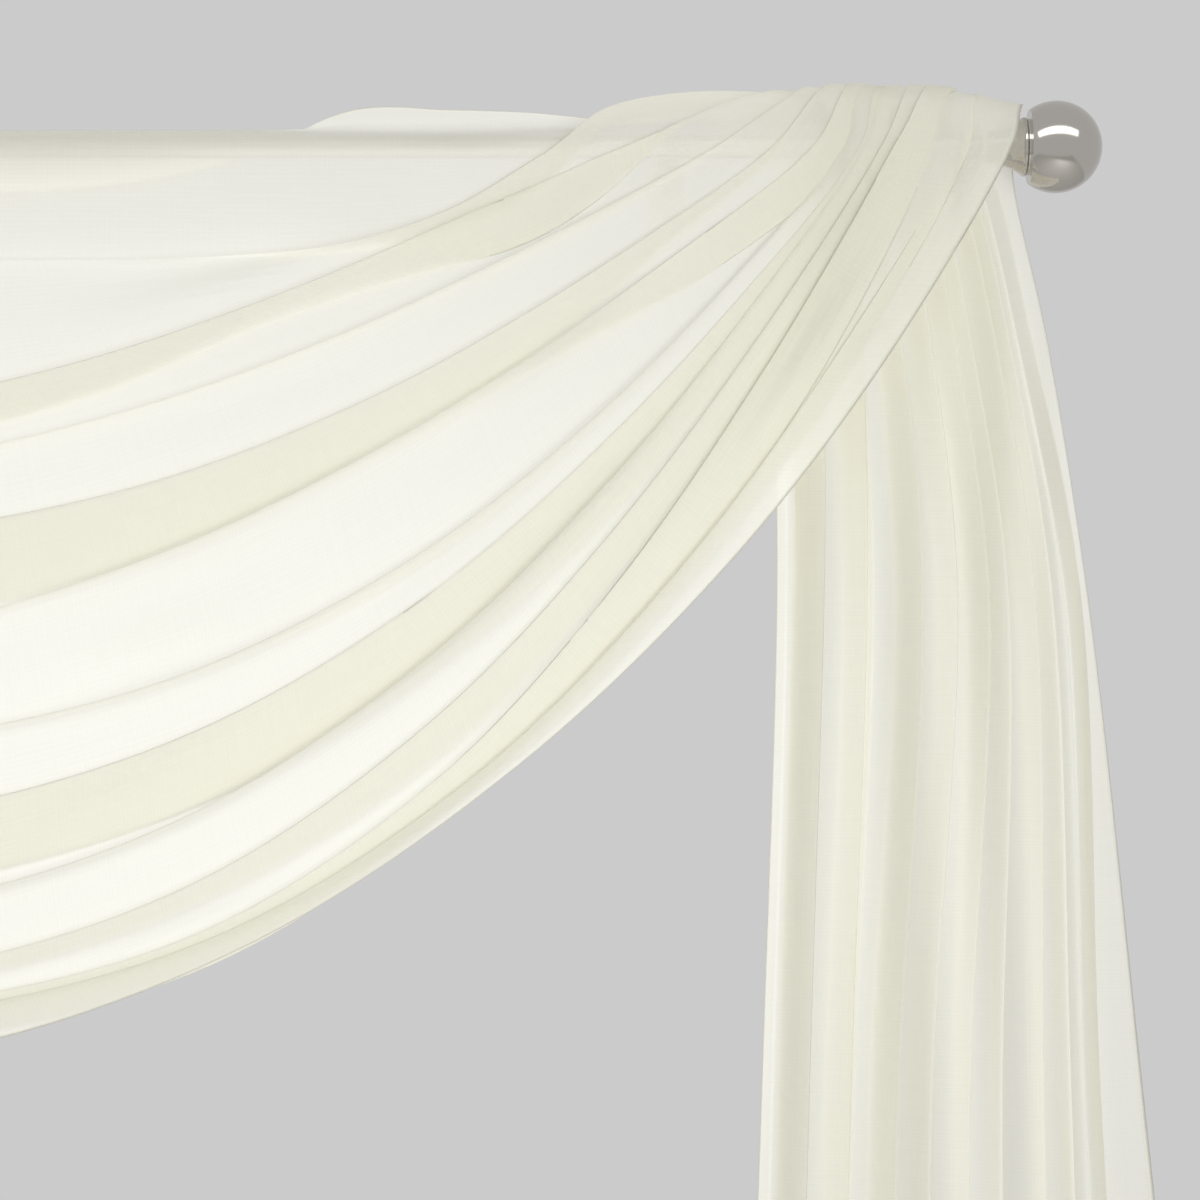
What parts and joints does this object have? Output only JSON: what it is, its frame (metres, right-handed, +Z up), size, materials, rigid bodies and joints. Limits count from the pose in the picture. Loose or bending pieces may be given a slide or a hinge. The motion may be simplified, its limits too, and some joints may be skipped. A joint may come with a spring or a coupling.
{
  "type": "voile scarf valance on a curtain rod",
  "caption": "Sheer ivory scarf draped as a swag over a thin curtain rod with round finials, a tail of folds falling behind the rod at each end, on small wall brackets.",
  "frame": {"origin": "on the wall plane behind the brackets, level with the rod's axis and midway between its ends", "axes": "+X right along the rod as seen from the room, +Y back into the wall, +Z up"},
  "size_m": [2.168, 0.1345, 2.053],
  "materials": {
    "voile": "sheer ivory polyester voile, plain weave",
    "polished_nickel": "polished warm nickel plate",
    "satin_nickel": "satin nickel plate"
  },
  "bodies": {
    "root": {"scarf": "voile", "rod": "satin_nickel", "finial_collar_right": "polished_nickel", "finial_ball_right": "polished_nickel", "finial_collar_left": "polished_nickel", "finial_ball_left": "polished_nickel", "wall_bracket_right": "satin_nickel", "wall_bracket_left": "satin_nickel"}
  },
  "joints": []
}
